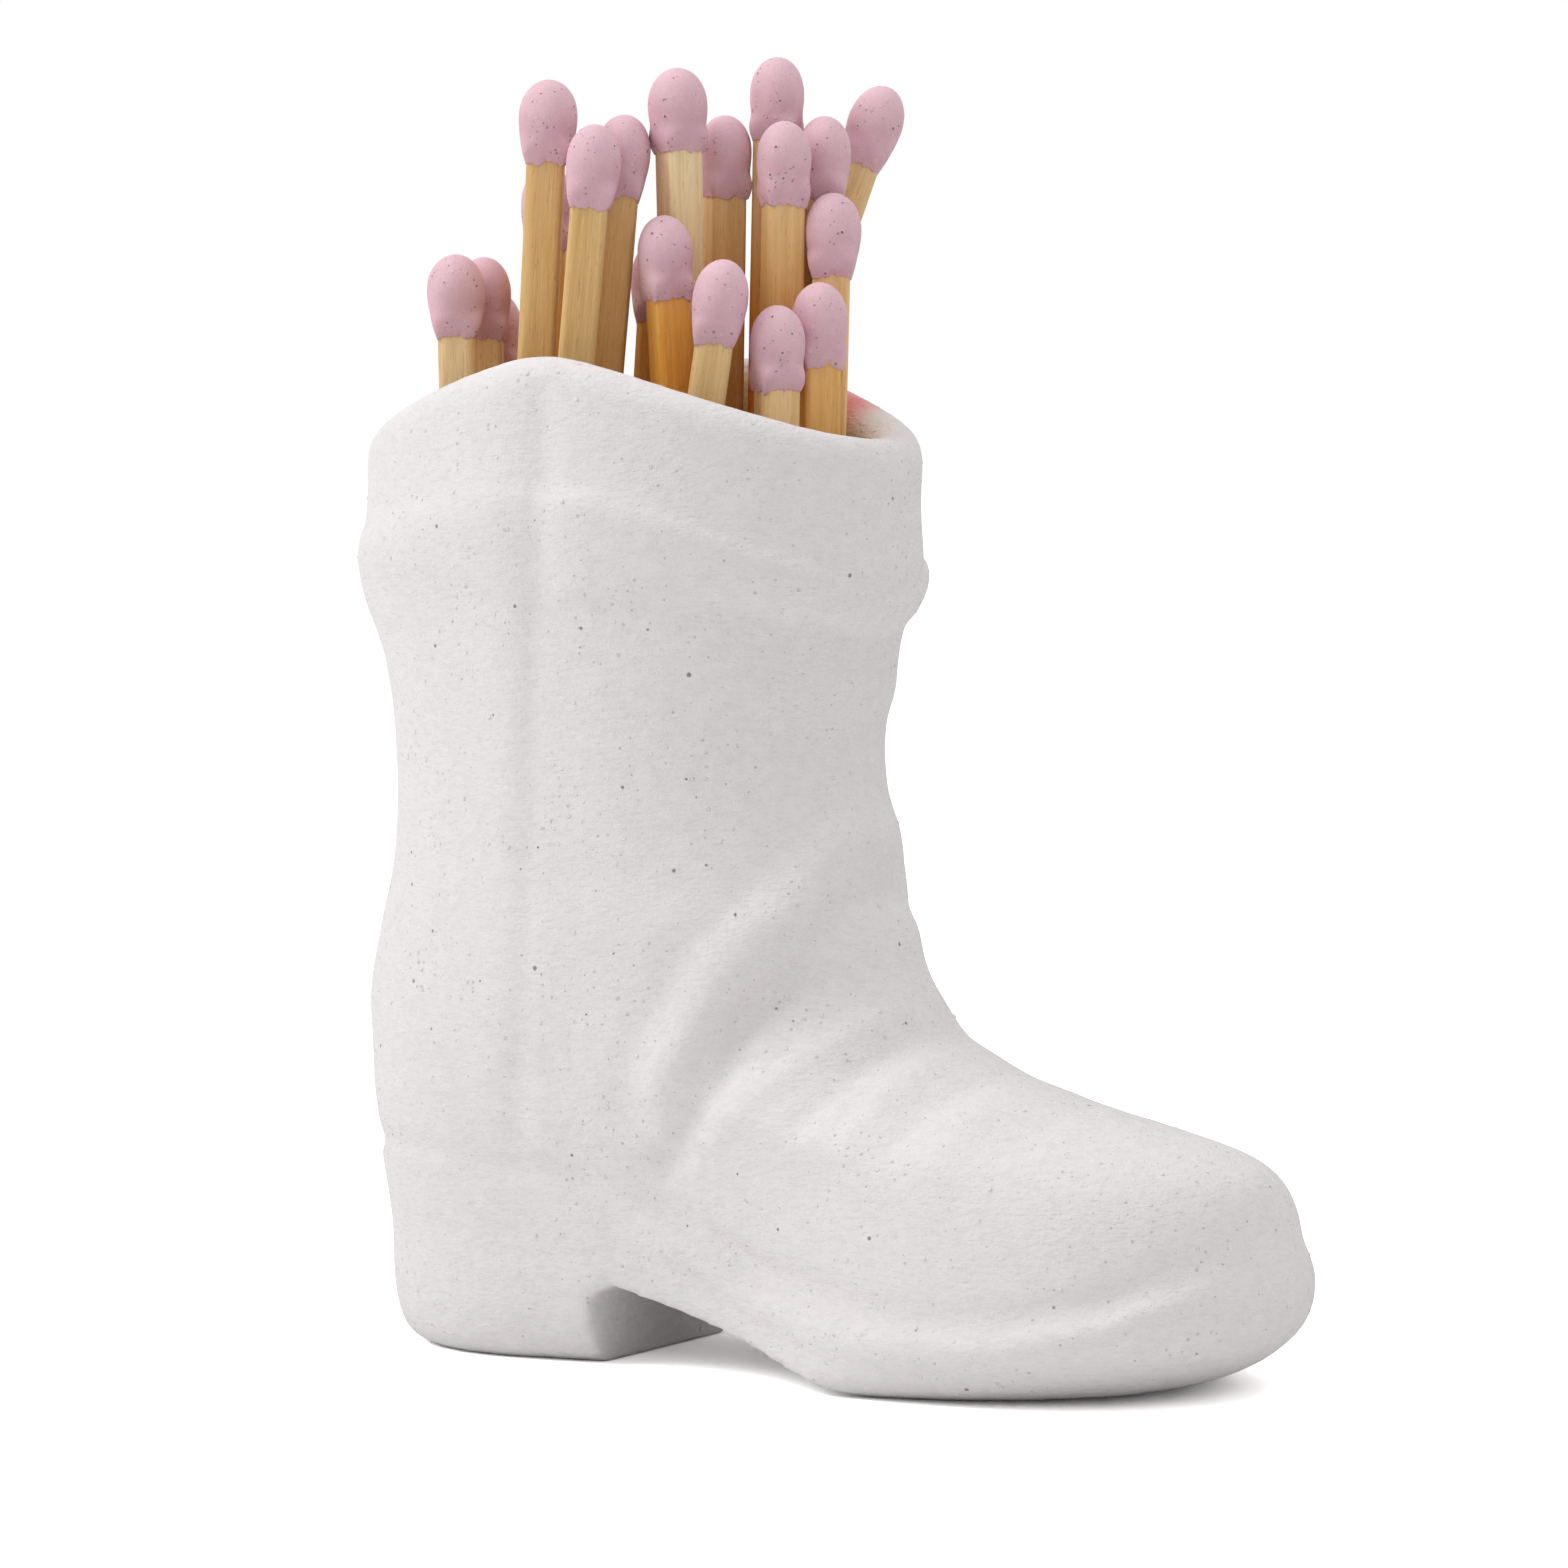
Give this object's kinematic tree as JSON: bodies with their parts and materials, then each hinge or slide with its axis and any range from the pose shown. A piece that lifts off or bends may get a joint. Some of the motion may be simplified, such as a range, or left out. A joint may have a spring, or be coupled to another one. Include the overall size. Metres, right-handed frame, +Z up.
{
  "type": "match striker",
  "caption": "Boot-shaped ceramic match striker: a hollow unglazed boot whose rough skin strikes matches and whose shaft holds a bunch of wooden matches",
  "frame": {"origin": "centre of the whole part's outline on the floor the boot stands on", "axes": "+X towards the boot's toe, +Y to the far side of the boot as the picture shows it, +Z up"},
  "size_m": [0.0626, 0.0274, 0.0783],
  "materials": {
    "bisque": "unglazed matte white bisque with fine dark pores and pale grains",
    "match_wood": "bare split softwood, pale yellow to amber",
    "match_head": "dull pale pink dipped match head with small dark pores"
  },
  "bodies": {
    "root": {"boot": "bisque", "match_01_stick": "match_wood", "match_01_head": "match_head", "match_02_stick": "match_wood", "match_02_head": "match_head", "match_03_stick": "match_wood", "match_03_head": "match_head", "match_04_stick": "match_wood", "match_04_head": "match_head", "match_05_stick": "match_wood", "match_05_head": "match_head", "match_06_stick": "match_wood", "match_06_head": "match_head", "match_07_stick": "match_wood", "match_07_head": "match_head", "match_08_stick": "match_wood", "match_08_head": "match_head", "match_09_stick": "match_wood", "match_09_head": "match_head", "match_10_stick": "match_wood", "match_10_head": "match_head", "match_11_stick": "match_wood", "match_11_head": "match_head", "match_12_stick": "match_wood", "match_12_head": "match_head", "match_13_stick": "match_wood", "match_13_head": "match_head", "match_14_stick": "match_wood", "match_14_head": "match_head", "match_15_stick": "match_wood", "match_15_head": "match_head", "match_16_stick": "match_wood", "match_16_head": "match_head", "match_17_stick": "match_wood", "match_17_head": "match_head", "match_18_stick": "match_wood", "match_18_head": "match_head", "match_19_stick": "match_wood", "match_19_head": "match_head", "match_20_stick": "match_wood", "match_20_head": "match_head"}
  },
  "joints": []
}
